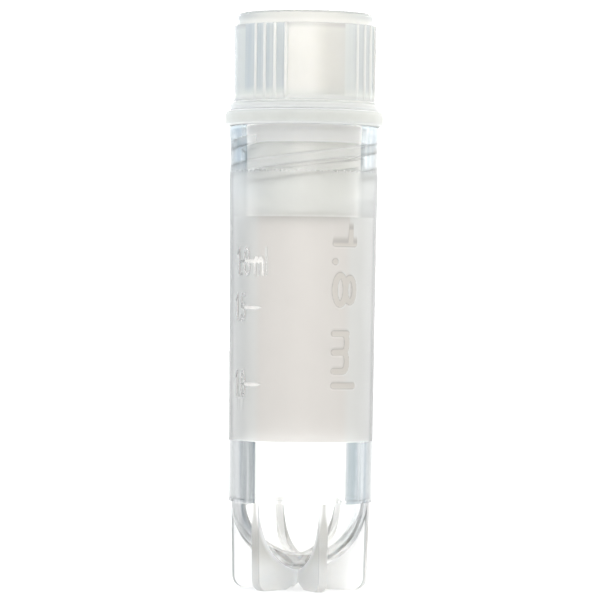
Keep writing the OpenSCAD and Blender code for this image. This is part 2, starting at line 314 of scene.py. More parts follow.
def rounded(corners):
    """A polyline with its corners rounded. Each corner is (radius, height, rounding). An arc
    runs from one tangent point to the other: centre = corner + bisector * rounding / sin(half
    the angle between the sides), and its points turn evenly from one side's normal to the
    other's."""
    points = np.array([c[:2] for c in corners], float)
    out = [points[:1]]
    for i in range(1, len(points) - 1):
        radius, here = corners[i][2], points[i]
        if radius <= 0:
            out.append(here[None])
            continue
        to_last, to_next = points[i - 1] - here, points[i + 1] - here
        to_last /= np.linalg.norm(to_last)
        to_next /= np.linalg.norm(to_next)
        half = math.acos(float(np.clip(to_last @ to_next, -1, 1))) / 2
        start = here + to_last * radius / math.tan(half)
        end = here + to_next * radius / math.tan(half)
        bisector = (to_last + to_next) / np.linalg.norm(to_last + to_next)
        centre = here + bisector * radius / math.sin(half)
        a, b = (np.arctan2(*(p - centre)[::-1]) for p in (start, end))
        sweep = (b - a + math.pi) % (2 * math.pi) - math.pi
        turns = a + sweep * np.linspace(0, 1, max(4, int(abs(sweep) / 0.35) + 2))
        out.append(centre + radius * np.stack([np.cos(turns), np.sin(turns)], 1))
    out.append(points[-1:])
    return np.concatenate(out)


def arc(centre_height, radius, start, end, steps):
    """Points of a circle: centre + radius * (cos, sin) of angles in degrees from the level.
    The centre is (0, centre_height)."""
    turns = np.radians(np.linspace(start, end, steps))
    return np.stack([radius * np.cos(turns), centre_height + radius * np.sin(turns)], 1)


def divided(points, longest):
    """The same polyline with each side cut into equal parts no longer than longest(radius,
    height) at the side's middle: point = start + (end - start) * part / parts."""
    sides = np.diff(points, axis=0)
    size = np.hypot(*sides.T)
    limit = longest(points[:-1, 0] + sides[:, 0] / 2, points[:-1, 1] + sides[:, 1] / 2)
    parts = np.maximum(1, np.ceil(size / limit)).astype(int)
    side = np.repeat(np.arange(len(parts)), parts)
    part = np.arange(len(side)) - np.repeat(np.cumsum(parts) - parts, parts)
    cut = points[side] + sides[side] * (part / parts[side])[:, None]
    return np.concatenate([cut, points[-1:]])


def even_angles(step, zones=()):
    """Angles round the axis in radians, from -180 degrees, at step degrees, and finer in each
    zone (from, to, step in degrees)."""
    stretches, last = [], -180
    for low, high, fine in sorted(zones):
        stretches += [(last, low, step), (low, high, fine)]
        last = high
    stretches.append((last, 180, step))
    angles = [np.linspace(start, end, max(1, round((end - start) / size)), endpoint=False)
              for start, end, size in stretches]
    return np.radians(np.unique(np.round(np.concatenate(angles), 6)))


def within(values, zone):
    """Whether each value is between a zone's ends."""
    return (values > zone[0]) & (values < zone[1])


def short(radius, height):
    """The longest side of a plain small profile, everywhere."""
    return np.full_like(radius, SHORT_SIDE)


def wrapped(turn):
    """The same turn between -180 and 180 degrees, in radians."""
    return (turn + math.pi) % (2 * math.pi) - math.pi


def smooth(x):
    """0 below 0, 1 above 1, and 3x^2 - 2x^3 between."""
    x = np.clip(x, 0, 1)
    return x * x * (3 - 2 * x)


def turned(name, radius, height, turns):
    """A closed surface round the axis: point = (radius * sin(turn), -radius * cos(turn),
    height), where radius is a row's own or changes along it. The first and the last row are
    on the axis, and each is one point that closes its end."""
    radius = np.broadcast_to(radius, (len(height), len(turns)))[1:-1]
    level = np.broadcast_to(height[1:-1, None], radius.shape)
    body = np.stack([radius * np.sin(turns), -radius * np.cos(turns), level], 2)
    ends = np.array([[0, 0, height[0]], [0, 0, height[-1]]])
    points = np.concatenate([body.reshape(-1, 3), ends])
    rows, columns = radius.shape
    at = np.arange(rows * columns).reshape(rows, columns)
    right = np.roll(at, -1, 1)
    quads = np.stack([at[:-1], right[:-1], right[1:], at[1:]], 2).reshape(-1, 4)
    first, last = rows * columns, rows * columns + 1
    fans = np.concatenate([
        np.stack([np.full(columns, first), right[0], at[0]], 1),
        np.stack([at[-1], right[-1], np.full(columns, last)], 1)])
    return mesh_of(name, points, quads, fans)


def turned_ring(name, profile, turns):
    """A closed ring round the axis: a closed profile of (radius, height), carried round by the
    same formula as in turned()."""
    radius, height = profile[:, :1], profile[:, 1:]
    points = np.stack([radius * np.sin(turns), -radius * np.cos(turns),
                       np.repeat(height, len(turns), 1)], 2).reshape(-1, 3)
    at = np.arange(len(profile) * len(turns)).reshape(len(profile), len(turns))
    right, up = np.roll(at, -1, 1), np.roll(at, -1, 0)
    quads = np.stack([at, right, np.roll(right, -1, 0), up], 2).reshape(-1, 4)
    return mesh_of(name, points, quads)


def mesh_of(name, points, *faces):
    """A mesh from arrays of points and of faces, shaded smooth."""
    mesh = bpy.data.meshes.new(name)
    corners = np.concatenate([f.ravel() for f in faces]).astype(np.int32)
    sizes = np.concatenate([np.full(len(f), f.shape[1]) for f in faces]).astype(np.int32)
    mesh.vertices.add(len(points))
    mesh.vertices.foreach_set("co", np.ascontiguousarray(points, np.float32).ravel())
    mesh.loops.add(len(corners))
    mesh.loops.foreach_set("vertex_index", corners)
    mesh.polygons.add(len(sizes))
    mesh.polygons.foreach_set("loop_start", np.cumsum(sizes, dtype=np.int32) - sizes)
    mesh.polygons.foreach_set("use_smooth", np.ones(len(sizes), bool))
    mesh.update(calc_edges=True)
    if mesh.validate():
        raise RuntimeError(f"the mesh of {name} had bad faces")
    return mesh


def placed(name, mesh, body, replaced=()):
    """The mesh as an object that rides on a CAD body and shows its mesh's finishes."""
    piece = bpy.data.objects.new(name, mesh)
    bpy.context.scene.collection.objects.link(piece)
    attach(piece, body)
    if replaced:
        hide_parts(*replaced)
    return piece


# Raised figures: strokes on a flat sheet that is rolled round the tube

def bow(cx, cy, rx, ry, start, end, steps=14):
    """Points of an ellipse's arc: centre + (rx * cos, ry * sin) of angles in degrees."""
    t = np.radians(np.linspace(start, end, steps))
    return np.stack([cx + rx * np.cos(t), cy + ry * np.sin(t)], 1)


def figures():
    """The strokes of each figure, as polylines in a box one unit high, and its set width."""
    one = np.array([[0.08, 0.78], [0.3, 1.0], [0.3, 0.0]])
    return {
        "1": ([one], 0.55),
        "0": ([bow(0.36, 0.5, 0.27, 0.5, 0, 360, 25)], 0.8),
        "5": ([np.concatenate([[[0.58, 1.0], [0.16, 1.0], [0.13, 0.56]],
                               bow(0.33, 0.32, 0.29, 0.32, 130, -150)])], 0.75),
        "8": ([bow(0.36, 0.76, 0.23, 0.24, 0, 360, 20),
               bow(0.36, 0.26, 0.28, 0.26, 0, 360, 20)], 0.8),
        ".": ([np.array([[0.1, 0.0], [0.1, 0.02]])], 0.28),
        "m": ([np.array([[0.1, 0.0], [0.1, 0.64]]),
               np.concatenate([bow(0.28, 0.46, 0.18, 0.18, 180, 0, 9), [[0.46, 0.0]]]),
               np.concatenate([bow(0.64, 0.46, 0.18, 0.18, 180, 0, 9), [[0.82, 0.0]]])], 1.0),
        "l": ([np.array([[0.1, 0.0], [0.1, 1.0]])], 0.28),
        " ": ([], 0.3),
    }


def strokes_of(text):
    """The straight pieces of a text's strokes, as rows of (x1, y1, x2, y2), centred."""
    known, pieces, x = figures(), [], 0.0
    for sign in text:
        lines, width = known[sign]
        for line in lines:
            moved = line + [x, -0.5]
            pieces.append(np.concatenate([moved[:-1], moved[1:]], 1))
        x += width
    pieces = np.concatenate(pieces)
    middle = (pieces[:, [0, 2]].min() + pieces[:, [0, 2]].max()) / 2
    return pieces - [middle, 0, middle, 0]


def distance_to(pieces, x, y):
    """Distance from each point to the nearest straight piece: the point is projected on each
    piece, and the foot is kept between the piece's ends."""
    nearest = np.full(np.broadcast(x, y).shape, np.inf)
    for x1, y1, x2, y2 in pieces:
        dx, dy = x2 - x1, y2 - y1
        along = ((x - x1) * dx + (y - y1) * dy) / max(dx * dx + dy * dy, 1e-12)
        along = np.clip(along, 0, 1)
        nearest = np.minimum(nearest, np.hypot(x - x1 - along * dx, y - y1 - along * dy))
    return nearest


def body_radius(tube, height):
    """Outside radius of the tube's tapered body: a straight line from base to shoulder."""
    run = (height - tube.base_height) / (tube.shoulder_height - tube.base_height)
    return tube.base_r + (tube.shoulder_r - tube.base_r) * run


def fill_height(ml):
    """Height of a graduation, in proportion to two known ones."""
    v1, z1, v2, z2 = KNOWN_FILLS
    return (z1 + (ml - v1) * (z2 - z1) / (v2 - v1)) * MM


def mark_relief(marks, tube, turns, heights):
    """Height of the raised marks above the body on the grid: relief * smooth step across each
    stroke's edge. The grid is unrolled, so x is turn * radius and y is height, and the tall
    volume reads downwards. A graduation is an ellipse, pointed at its ends."""
    turn, height = turns[None, :], heights[:, None]
    radius = body_radius(tube, height)
    soft = 0.1 * MM
    inside = np.full((len(heights), len(turns)), -1.0)
    for ml, text, shift, fit, longer in GRADUATIONS:
        level = fill_height(ml)
        x = wrapped(turn - marks.turn) * radius
        half = marks.span / 2 * radius * longer
        taper = marks.line / 2 * np.sqrt(np.clip(1 - (x / half) ** 2, 0, 1))
        taper = np.where(abs(x) < half, taper, -soft)
        inside = np.maximum(inside, (taper - abs(height - level)) / soft)
        middle = marks.figure_turn + math.radians(shift)
        x = wrapped(turn - middle) * radius / marks.figure / fit
        y = (height - level) / marks.figure
        away = distance_to(strokes_of(text), x, y) * marks.figure
        inside = np.maximum(inside, (marks.stroke / 2 - away) / soft)
    x = (marks.label_height - height) / marks.label_size
    y = wrapped(turn - marks.label_turn) * radius / marks.label_size
    shape = strokes_of("1.8 ml") * [marks.label_stretch, 1, marks.label_stretch, 1]
    away = distance_to(shape, x, y) * marks.label_size
    inside = np.maximum(inside, (marks.label_stroke / 2 - away) / soft)
    return marks.relief * smooth(inside + 0.5)


def ragged(turns):
    """An uneven edge round the tube, from 0 to 1: three sine waves that share a circle."""
    return 0.5 + 0.2 * np.sin(9 * turns + 1) + 0.17 * np.sin(23 * turns + 2) + 0.13 * np.sin(
        41 * turns)


def thread_relief(thread, level, turns, heights):
    """Height of the thread's ridges above their wall on the grid. A ridge's middle climbs as
    level + lead * turn / full turn. Across it the height is a smooth step from root to crest.
    Along it, it is a smooth step that starts at each end and is full over the middle sixth:
    smooth((1 - |turn| / half sweep) * 6 / 5)."""
    relief = np.zeros((len(heights), len(turns)))
    for k in range(thread.starts):
        turn = wrapped(turns - 2 * math.pi * k / thread.starts)[None, :]
        middle = level + thread.lead * turn / (2 * math.pi)
        across = (thread.root / 2 - abs(heights[:, None] - middle)) * 2
        flank = smooth(across / (thread.root - thread.crest))
        end = smooth((1 - abs(turn) / thread.half_sweep) * 6 / 5)
        relief = np.maximum(relief, thread.height * flank * end)
    return relief


# Finishes. Heights and radii in materials are in millimetres

PLASTIC_IOR = 1.49
SILICONE_IOR = 1.41
MILKY_SPREAD = 1.0, 1.0, 0.95
SATIN_SPREAD = 1.0, 0.95, 0.9


def group(name, inputs, outputs):
    """An empty shader node group with these sockets, each (name, kind, default)."""
    tree = bpy.data.node_groups.new(name, "ShaderNodeTree")
    for side, sockets in (("INPUT", inputs), ("OUTPUT", outputs)):
        for label, kind, *default in sockets:
            made = tree.interface.new_socket(label, in_out=side, socket_type="NodeSocket" + kind)
            if default:
                made.default_value = default[0]
    return tree, Wiring(tree)


def rgba(colour, share=1.0):
    """A colour with full alpha, times a share that is one number or one for each channel."""
    return (*(np.array(colour) * np.array(share)), 1.0)


class Wiring:
    """Adds nodes to a tree and links them"""

    def __init__(self, tree):
        """Takes the tree that the nodes go into."""
        self.tree = tree

    def join(self, value, socket):
        """Links a socket to another, or sets it to a value."""
        if isinstance(value, bpy.types.NodeSocket):
            self.tree.links.new(value, socket)
        else:
            socket.default_value = value

    def add(self, kind, options=None, **inputs):
        """A node with its options and inputs, named by socket or numbered as _0, _1 and _2."""
        node = self.tree.nodes.new(kind)
        for key, value in (options or {}).items():
            setattr(node, key, value)
        for key, value in inputs.items():
            name = int(key[1:]) if key[0] == "_" else key.replace("_", " ")
            self.join(value, node.inputs[name])
        return node

    def maths(self, operation, a, b=0.0, c=0.0):
        """A Math node's value."""
        return self.add("ShaderNodeMath", {"operation": operation}, _0=a, _1=b, _2=c).outputs[0]

    def product(self, first, *others):
        """Masks and numbers multiplied together."""
        for other in others:
            first = self.maths("MULTIPLY", first, other)
        return first

    def line(self, value, slope, start):
        """value * slope + start."""
        return self.maths("MULTIPLY_ADD", value, slope, start)

    def without(self, mask):
        """0 where the mask is 1, and 1 where it is 0."""
        return self.maths("SUBTRACT", 1.0, mask)

    def vector(self, operation, a, b=(0, 0, 0)):
        """A Vector Math node's vector."""
        return self.add("ShaderNodeVectorMath", {"operation": operation}, _0=a, _1=b).outputs[0]

    def measure(self, operation, a, b=(0, 0, 0)):
        """A Vector Math node's number, such as a length."""
        node = self.add("ShaderNodeVectorMath", {"operation": operation}, _0=a, _1=b)
        return node.outputs["Value"]

    def parts(self, vector):
        """A vector's three numbers."""
        return self.add("ShaderNodeSeparateXYZ", _0=vector).outputs

    def flattened(self, across, depth):
        """A level vector."""
        return self.add("ShaderNodeCombineXYZ", _0=across, _1=depth).outputs[0]

    def step(self, value, low, high):
        """0 at low, 1 at high and smooth between, where low may be the greater of the two."""
        return self.add("ShaderNodeMapRange", {"interpolation_type": "SMOOTHSTEP"},
                        Value=value, From_Min=low, From_Max=high).outputs[0]

    def choice(self, mask, a, b):
        """One number where the mask is 0 and another where it is 1."""
        return self.add("ShaderNodeMix", {"data_type": "FLOAT"}, _0=mask, _2=a, _3=b).outputs[0]

    def mix(self, factor, a, b, blend="MIX"):
        """A colour mix."""
        node = self.add("ShaderNodeMix", {"data_type": "RGBA", "blend_type": blend})
        for place, value in ((0, factor), (6, a), (7, b)):
            self.join(value, node.inputs[place])
        return node.outputs[2]

    def shaded(self, mask, colour, share):
        """The colour, times a share of itself where the mask is."""
        return self.mix(mask, colour, self.mix(1.0, colour, rgba((1, 1, 1), share), "MULTIPLY"))


def place_group():
    """Where a point is: its height, its distance from the axis, and its place in millimetres."""
    tree, w = group("Place on the vial", [], [
        ("Height", "Float"), ("Radius", "Float"), ("Millimetres", "Vector")])
    spot = w.add("ShaderNodeTexCoord").outputs["Object"]
    mm = w.add("ShaderNodeVectorMath", {"operation": "SCALE"}, _0=spot, Scale=1 / MM).outputs[0]
    across, depth, height = w.parts(mm)
    radius = w.measure("LENGTH", w.flattened(across, depth))
    w.add("NodeGroupOutput", _0=height, _1=radius, _2=mm)
    return tree


def ripple_group():
    """Slight waves and flow lines of a moulded surface, as a normal."""
    tree, w = group("Moulding ripple", [("Millimetres", "Vector"), ("Scale", "Float", 0.35),
                                        ("Height", "Float", 0.01)], [("Normal", "Vector")])
    given = w.add("NodeGroupInput")
    longer = w.vector("MULTIPLY", given.outputs[0], (1.0, 1.0, 0.35))
    noise = w.add("ShaderNodeTexNoise", Vector=longer, Scale=given.outputs[1], Detail=3.0,
                  Roughness=0.45)
    bump = w.add("ShaderNodeBump", Strength=1.0, Distance=given.outputs[2],
                 Height=noise.outputs[0])
    w.add("NodeGroupOutput", _0=bump.outputs[0])
    return tree


def haze_group():
    """Cloudiness of natural plastic: a soft mottle and fine specks, each as a mask."""
    tree, w = group("Plastic haze", [("Millimetres", "Vector"), ("Cloud scale", "Float", 0.5),
                                     ("Speck scale", "Float", 9.0)],
                    [("Cloud", "Float"), ("Specks", "Float")])
    given = w.add("NodeGroupInput")
    cloud = w.add("ShaderNodeTexNoise", Vector=given.outputs[0], Scale=given.outputs[1],
                  Detail=4.0, Roughness=0.55)
    specks = w.add("ShaderNodeTexNoise", Vector=given.outputs[0], Scale=given.outputs[2],
                   Detail=2.0, Roughness=0.6)
    w.add("NodeGroupOutput", _0=w.step(cloud.outputs[0], 0.3, 0.7),
          _1=w.step(specks.outputs[0], 0.35, 0.7))
    return tree


def streak_group():
    """Upright flow lines of moulded plastic, as a mask."""
    tree, w = group("Flow lines", [("Millimetres", "Vector"), ("Scale", "Float", 0.9)],
                    [("Streaks", "Float")])
    given = w.add("NodeGroupInput")
    upright = w.vector("MULTIPLY", given.outputs[0], (1.0, 1.0, 0.02))
    noise = w.add("ShaderNodeTexNoise", Vector=upright, Scale=given.outputs[1], Detail=3.0,
                  Roughness=0.6)
    w.add("NodeGroupOutput", _0=w.step(noise.outputs[0], 0.3, 0.7))
    return tree


def shared(builder):
    """A node group that is built once."""
    name = {place_group: "Place on the vial", ripple_group: "Moulding ripple",
            haze_group: "Plastic haze", streak_group: "Flow lines"}[builder]
    return bpy.data.node_groups.get(name) or builder()


class Surface(Wiring):
    """A new material's wiring, with a point's height, radius and place in millimetres"""

    def __init__(self, name):
        """Makes the material and finds a point's place on the vial."""
        self.material = bpy.data.materials.new(name)
        self.material.use_nodes = True
        super().__init__(self.material.node_tree)
        self.tree.nodes.clear()
        self.height, self.radius, self.mm = self.put(place_group).outputs

    def put(self, builder, **inputs):
        """A shared node group with its inputs."""
        return self.add("ShaderNodeGroup", {"node_tree": shared(builder)}, **inputs)

    def haze(self, cloud, specks):
        """The masks of the plastic's mottle and of its specks, at these scales."""
        return self.put(haze_group, Millimetres=self.mm, Cloud_scale=cloud,
                        Speck_scale=specks).outputs

    def streaks(self, scale):
        """The mask of the flow lines."""
        return self.put(streak_group, Millimetres=self.mm, Scale=scale).outputs[0]

    def ripple(self, scale, height):
        """The normal of the moulding's ripple."""
        return self.put(ripple_group, Millimetres=self.mm, Scale=scale, Height=height).outputs[0]

    def facing(self, **normal):
        """From 0 where the surface is seen from straight ahead to 1 where it is edgeways."""
        return self.add("ShaderNodeLayerWeight", Blend=0.5, **normal).outputs["Facing"]

    def geometry(self, output):
        """A value of the point on the surface."""
        return self.add("ShaderNodeNewGeometry").outputs[output]

    def banded(self, colour, *bands):
        """The colour with level bands of other tints, each (from, to, tint), which starts at
        the one height and is full at the other."""
        for start, end, other in bands:
            colour = self.mix(self.step(self.height, start, end), colour, rgba(other))
        return colour

    def finished(self, **sockets):
        """The material, once its shader has these inputs."""
        shader = self.add("ShaderNodeBsdfPrincipled", **sockets)
        self.add("ShaderNodeOutputMaterial", _0=shader.outputs[0])
        return self.material


def tube_zones(w, finish, tube, marks):
    """Masks over the tube. A point's place across the wall is its distance from the tapered
    outside, counted in heights of the raised marks."""
    base, shoulder = tube.base_height / MM, tube.shoulder_height / MM
    scale_foot = MARK_ZONE[0] / MM
    slope = (tube.shoulder_r - tube.base_r) / (tube.shoulder_height - tube.base_height)
    wall = w.line(w.maths("SUBTRACT", w.height, base), slope, tube.base_r / MM)
    proud = w.maths("DIVIDE", w.maths("SUBTRACT", w.radius, wall), marks.relief / MM)
    across = w.parts(w.mm)[0]
    zone = SimpleNamespace()
    zone.facing = w.facing()
    zone.front = w.without(w.geometry("Backfacing"))
    # Left and right halves. The scale on the left is polished; beside the plug the painted shade
    # is darker on the right.
    zone.right = w.step(across, -0.1, 0.1)
    # Where the polished wall's painted shade turns from its darker left to its lighter right.
    zone.rightward = w.step(across, -2.0, 2.0)
    zone.neck = w.step(w.height, shoulder - 0.1, shoulder + 0.05)
    marked = w.product(w.step(w.height, scale_foot - 0.2, scale_foot - 0.1),
                       w.step(w.height, shoulder, shoulder - 0.1))
    zone.raised = w.product(w.step(proud, 0.3, 0.8), marked)
    # The raised marks' flanks, which the etched band paints darker as shade.
    zone.outline = w.product(zone.raised, w.step(proud, 1.0, 0.8))
    zone.polished = w.product(zone.raised, w.line(zone.right, -0.7, 0.7))
    satin_low, satin_high = finish.satin_low / MM, finish.satin_high / MM
    above = w.step(w.height, satin_low - 0.04, satin_low + 0.04)
    below = w.step(w.height, satin_high + 0.7, satin_high - 0.9)
    skin = w.step(proud, -3.5, -3.0)
    zone.etched = w.product(skin, above, below, w.without(zone.polished))
    zone.bare = w.product(w.step(w.height, base - 0.2, base), w.without(above))
    zone.under = w.step(w.height, base - 0.05, base - 0.15)
    from_centre = w.measure("DISTANCE", w.mm, (0.0, 0.0, base))
    bowl_r = tube.bowl_r / MM
    bowl = w.product(zone.under, w.step(from_centre, bowl_r - 0.3, bowl_r - 0.2),
                     w.step(w.height, base - 4.7, base - 2.7))
    zone.outside = w.maths("MAXIMUM", skin, bowl)
    return zone


def clear_colour(w, finish, tube, zone):
    """Colour of the polished plastic. It is darker and cooler where the outer wall is seen
    edgeways, from an angle that depends on the zone. This edge tint is painted shade, standing
    in for the dark surroundings that the wall refracts: darker on the left than on the right,
    darkest on the round bottom's left, lighter on its right, over the neck and on the rim, and
    near black where the neck below the flare is seen most edgeways. On the flat rim the angle is
    that of the wall, as if the surface faced straight outwards."""
    base, shoulder, rim = tube.base_height / MM, tube.shoulder_height / MM, RIM_HEIGHT / MM
    outwards = w.add("ShaderNodeVectorTransform", {
        "vector_type": "NORMAL", "convert_from": "OBJECT", "convert_to": "WORLD"},
        Vector=w.vector("MULTIPLY", w.mm, (1.0, 1.0, 0.0))).outputs[0]
    away = w.choice(w.step(w.height, rim - 0.5, rim - 0.4), zone.facing,
                    w.facing(Normal=outwards))
    start = w.line(zone.bare, -0.225, 0.43)
    start = w.line(w.step(w.height, shoulder, shoulder + 0.6), -0.09, start)
    start = w.line(zone.polished, -0.07, start)
    start = w.line(zone.under, -0.06, start)
    # Painted shade where the wall is seen edgeways, broken up by the flow lines.
    edge = w.product(w.step(away, start, w.maths("ADD", start, 0.03)), zone.outside, zone.front,
                     w.line(w.streaks(1.8), 0.2, 0.8))
    # The painted shade's colour: darker on the left, lighter on the right, darker on the round
    # bottom's left, lighter on its right, over the neck and on the rim.
    dark = w.mix(zone.rightward, rgba(finish.clear_edge_shade, 0.7), rgba(finish.clear_edge_shade, 1.7))
    left_bowl_shade = w.product(zone.under, w.step(w.height, base - 2.7, base - 1.3),
                          w.without(zone.rightward))
    dark = w.mix(left_bowl_shade, dark, rgba(finish.clear_edge_shade, 0.45))
    dark = w.mix(w.product(zone.under, zone.rightward), dark, rgba(finish.bowl_edge_shade))
    dark = w.mix(w.step(w.height, shoulder + 0.5, shoulder + 4.0), dark,
                 rgba(finish.clear_edge_shade, 2.2))
    dark = w.mix(w.step(w.height, rim - 0.4, rim - 0.25), dark, rgba(finish.clear_edge_shade, 4.0))
    clear = w.mix(edge, rgba(finish.clear), dark)
    flare = tube.flare_height / MM
    # Painted shade: near black on the neck below the flare, where it is seen most edgeways.
    neck_edge_shade = w.product(w.step(zone.facing, 0.5, 0.75), w.product(zone.outside, zone.front),
                          w.step(w.height, flare, flare - 0.5))
    return w.mix(neck_edge_shade, clear, rgba(finish.neck_edge_shade))


def satin_colour(w, finish, zone, cloud):
    """Colour of the etched band, with painted light and shade. It is lighter and cooler towards
    the edges and dark at the silhouette. Over the neck it is lighter in the middle, against the
    shade of the plug behind, and darker at the edges, more so on the right. The raised marks are
    darker, and their outlines darker still, as shade on their relief."""
    satin = w.mix(w.product(cloud, 0.5), rgba(finish.satin), rgba(finish.satin, 0.96))
    # Painted light: lighter and cooler towards the edges.
    far_edge_light = w.product(w.step(zone.facing, 0.16, 0.27), zone.front)
    satin = w.mix(far_edge_light, satin, rgba(finish.satin_edge_light_shade))
    satin = w.mix(w.step(zone.facing, 0.35, 0.65), satin, rgba(finish.satin_edge_light_shade, 1.3))
    # Over the neck: painted light in the middle, against the shade of the plug behind, and painted
    # shade at the edges, darker on the right.
    beside_plug_shade = w.mix(zone.right, rgba(finish.satin_edge_light_shade), rgba(finish.satin_edge_light_shade, 0.74))
    over_plug_light = w.mix(w.product(w.step(zone.facing, 0.28, 0.4), 0.95), rgba(finish.satin_neck_light),
                      beside_plug_shade)
    satin = w.mix(zone.neck, satin, over_plug_light)
    # Painted shade at the silhouette.
    satin = w.mix(w.step(zone.facing, 0.62, 0.74), satin, rgba(finish.satin_edge_light_shade, 0.6))
    # Painted shade on the raised marks, darker still on their flanks.
    satin = w.mix(w.product(zone.raised, 0.9), satin, rgba(finish.satin, finish.raised_shade_share))
    return w.mix(zone.outline, satin, rgba(finish.satin, 0.52))


def tube_material(finish, tube, marks):
    """Natural polypropylene: polished and clear, with an etched band between the foot and the
    neck. The scale is polished and the tall volume is etched. The neck over the thread is a
    little softer than the rest of the polish."""
    w = Surface("Clear polypropylene")
    cloud, specks = w.haze(0.45, 7.0)
    zone = tube_zones(w, finish, tube, marks)
    colour = w.mix(zone.etched, clear_colour(w, finish, tube, zone),
                   satin_colour(w, finish, zone, cloud))
    neck_foot = tube.neck_foot / MM
    soft_neck = w.product(w.step(w.height, neck_foot + 0.5, neck_foot + 1.1), zone.outside)
    polish = w.line(soft_neck, 0.1, w.line(cloud, 0.015, 0.015))
    grain = w.line(specks, 0.12, finish.satin_roughness - 0.06)
    return w.finished(Base_Color=colour, Roughness=w.choice(zone.etched, polish, grain),
                      IOR=PLASTIC_IOR, Transmission_Weight=1.0, Coat_Weight=0.3,
                      Coat_Roughness=0.06, Normal=w.ripple(0.3, 0.004 * MM))


def fin_material(finish, foot, tube):
    """The foot's plastic, with the fine satin of a spark-eroded mould. Painted shade makes the
    rims greyer than the flat sides, less where a rim is seen from inside and not where they run
    into the round bottom, and gives the sides a warmer tone where they are seen edgeways, fading
    towards the middle. Both are painted darker upwards, as shade under the round bottom, and a
    thin dark margin is painted along the flat sides' outer edge, as the shade of its rounding."""
    w = Surface("Satin polypropylene")
    cloud, specks = w.haze(0.8, 9.0)
    lean, corner = (foot.top_r - foot.bottom_r) / tube.base_height, foot.corner_r / MM
    base, bowl_r = tube.base_height / MM, tube.bowl_r / MM
    below = w.maths("MAXIMUM", w.maths("SUBTRACT", corner, w.height), 0.0)
    curve = w.maths("SQRT", w.line(w.product(below, below), -1.0, corner ** 2))
    outline = w.maths("ADD", w.line(w.height, lean, foot.bottom_r / MM - corner), curve)
    inside = w.maths("SUBTRACT", outline, w.radius)
    turns = [foot.turn + math.pi * k / foot.plates for k in range(foot.plates)]

    def across_plates(operation, vector):
        """The least or the greatest of a vector's parts across the plates."""
        parts = [w.maths("ABSOLUTE", w.measure("DOT_PRODUCT", vector, (
            math.cos(turn), math.sin(turn), 0.0))) for turn in turns]
        return reduce(lambda a, b: w.maths(operation, a, b), parts)

    aside = across_plates("MINIMUM", w.mm)
    flat = across_plates("MAXIMUM", w.geometry("True Normal"))
    from_centre = w.measure("DISTANCE", w.mm, (0.0, 0.0, base))
    deep = w.step(w.line(aside, -1.2, from_centre), bowl_r - 0.35, bowl_r + 0.1)
    facing = w.facing()
    # Painted shade: a warmer tone where the sides are seen edgeways, fading towards the middle.
    sides = w.product(w.step(facing, 0.05, 0.34), w.step(w.radius, 0.5, 3.8))
    # Painted shade on the rims, weaker where a rim is seen from inside.
    seen_through = w.without(w.product(w.geometry("Backfacing"), 0.6))
    rims = w.product(w.step(inside, 0.1, 0.04), seen_through)
    colour = w.mix(sides, rgba(finish.fins), rgba(finish.fins_edge_shade))
    colour = w.mix(rims, colour, rgba(finish.fin_rim_shade))
    # Painted shade: sides and rims darker upwards, under the round bottom.
    upper = w.product(w.step(w.height, 1.5, 3.8), w.maths("MAXIMUM", sides, rims))
    colour = w.shaded(upper, colour, finish.fin_top_shade)
    colour = w.mix(deep, rgba(finish.fins), colour)
    # Painted shade: a thin dark line along the outer edge of a side seen flat-on, from its
    # rounding.
    margin = w.product(w.step(inside, 0.24, 0.17), w.step(facing, 0.25, 0.08),
                       w.step(aside, 0.33, 0.38), w.step(flat, 0.9, 0.95),
                       w.step(w.height, base - 0.1, base - 0.5))
    colour = w.mix(margin, colour, rgba(finish.fin_margin_shade))
    colour = w.shaded(w.product(cloud, 0.6), colour, 0.96)
    return w.finished(Base_Color=colour, Roughness=w.line(specks, 0.08, 0.3), IOR=PLASTIC_IOR,
                      Transmission_Weight=0.57, Subsurface_Weight=1.0,
                      Subsurface_Radius=SATIN_SPREAD, Subsurface_Scale=3 * MM,
                      Normal=w.ripple(0.6, 0.003 * MM))


def plug_material(finish, name="Milky polypropylene plug", through=0.66, margin=1.0):
    """Thin milky plastic, which lets more light through. Where it is seen edgeways it is painted
    darker and cooler, as shade, as far as margin says."""
    w = Surface(name)
    cloud, specks = w.haze(0.4, 5.0)
    colour = w.mix(cloud, rgba(finish.plug), rgba(finish.plug, 0.98))
    # Painted shade where the plug is seen edgeways.
    colour = w.mix(w.product(w.step(w.facing(), 0.45, 0.8), margin), colour,
                   rgba(finish.plug_edge_shade))
    return w.finished(Base_Color=colour, Roughness=w.line(specks, 0.05, 0.16), IOR=PLASTIC_IOR,
                      Transmission_Weight=through, Normal=w.ripple(0.45, 0.003 * MM))


def flange_material(finish, cap):
    """Thick milky plastic, in which light spreads further. It is painted lighter along the
    flange's two lips, in the crease beside the sealing ring and on the top of the plug below it,
    as light against the shade there."""
    w = Surface("Milky polypropylene flange")
    cloud, specks = w.haze(0.4, 5.0)
    low = SEAL_HEIGHT / MM
    high = low + cap.flange_height / MM
    # Painted light: lighter lips, a light line in the crease beside the ring, and a lighter plug
    # top under the flange, against the shade there.
    colour = w.banded(
        w.mix(cloud, rgba(finish.milky_thick), rgba(finish.milky_thick, 0.97)),
        (low + 0.36, low, finish.flange_lip_light),
        (low + 0.1, low + 0.06, finish.flange_crease_light),
        (high - 0.05, high - 0.01, finish.flange_top_light),
        (low - 1.0, low - 1.4, finish.plug_top))
    return w.finished(Base_Color=colour, Roughness=w.line(specks, 0.05, 0.3), IOR=PLASTIC_IOR,
                      Specular_IOR_Level=0.15, Transmission_Weight=0.1, Subsurface_Weight=1.0,
                      Subsurface_Radius=MILKY_SPREAD, Subsurface_Scale=2 * MM,
                      Normal=w.ripple(0.45, 0.003 * MM))


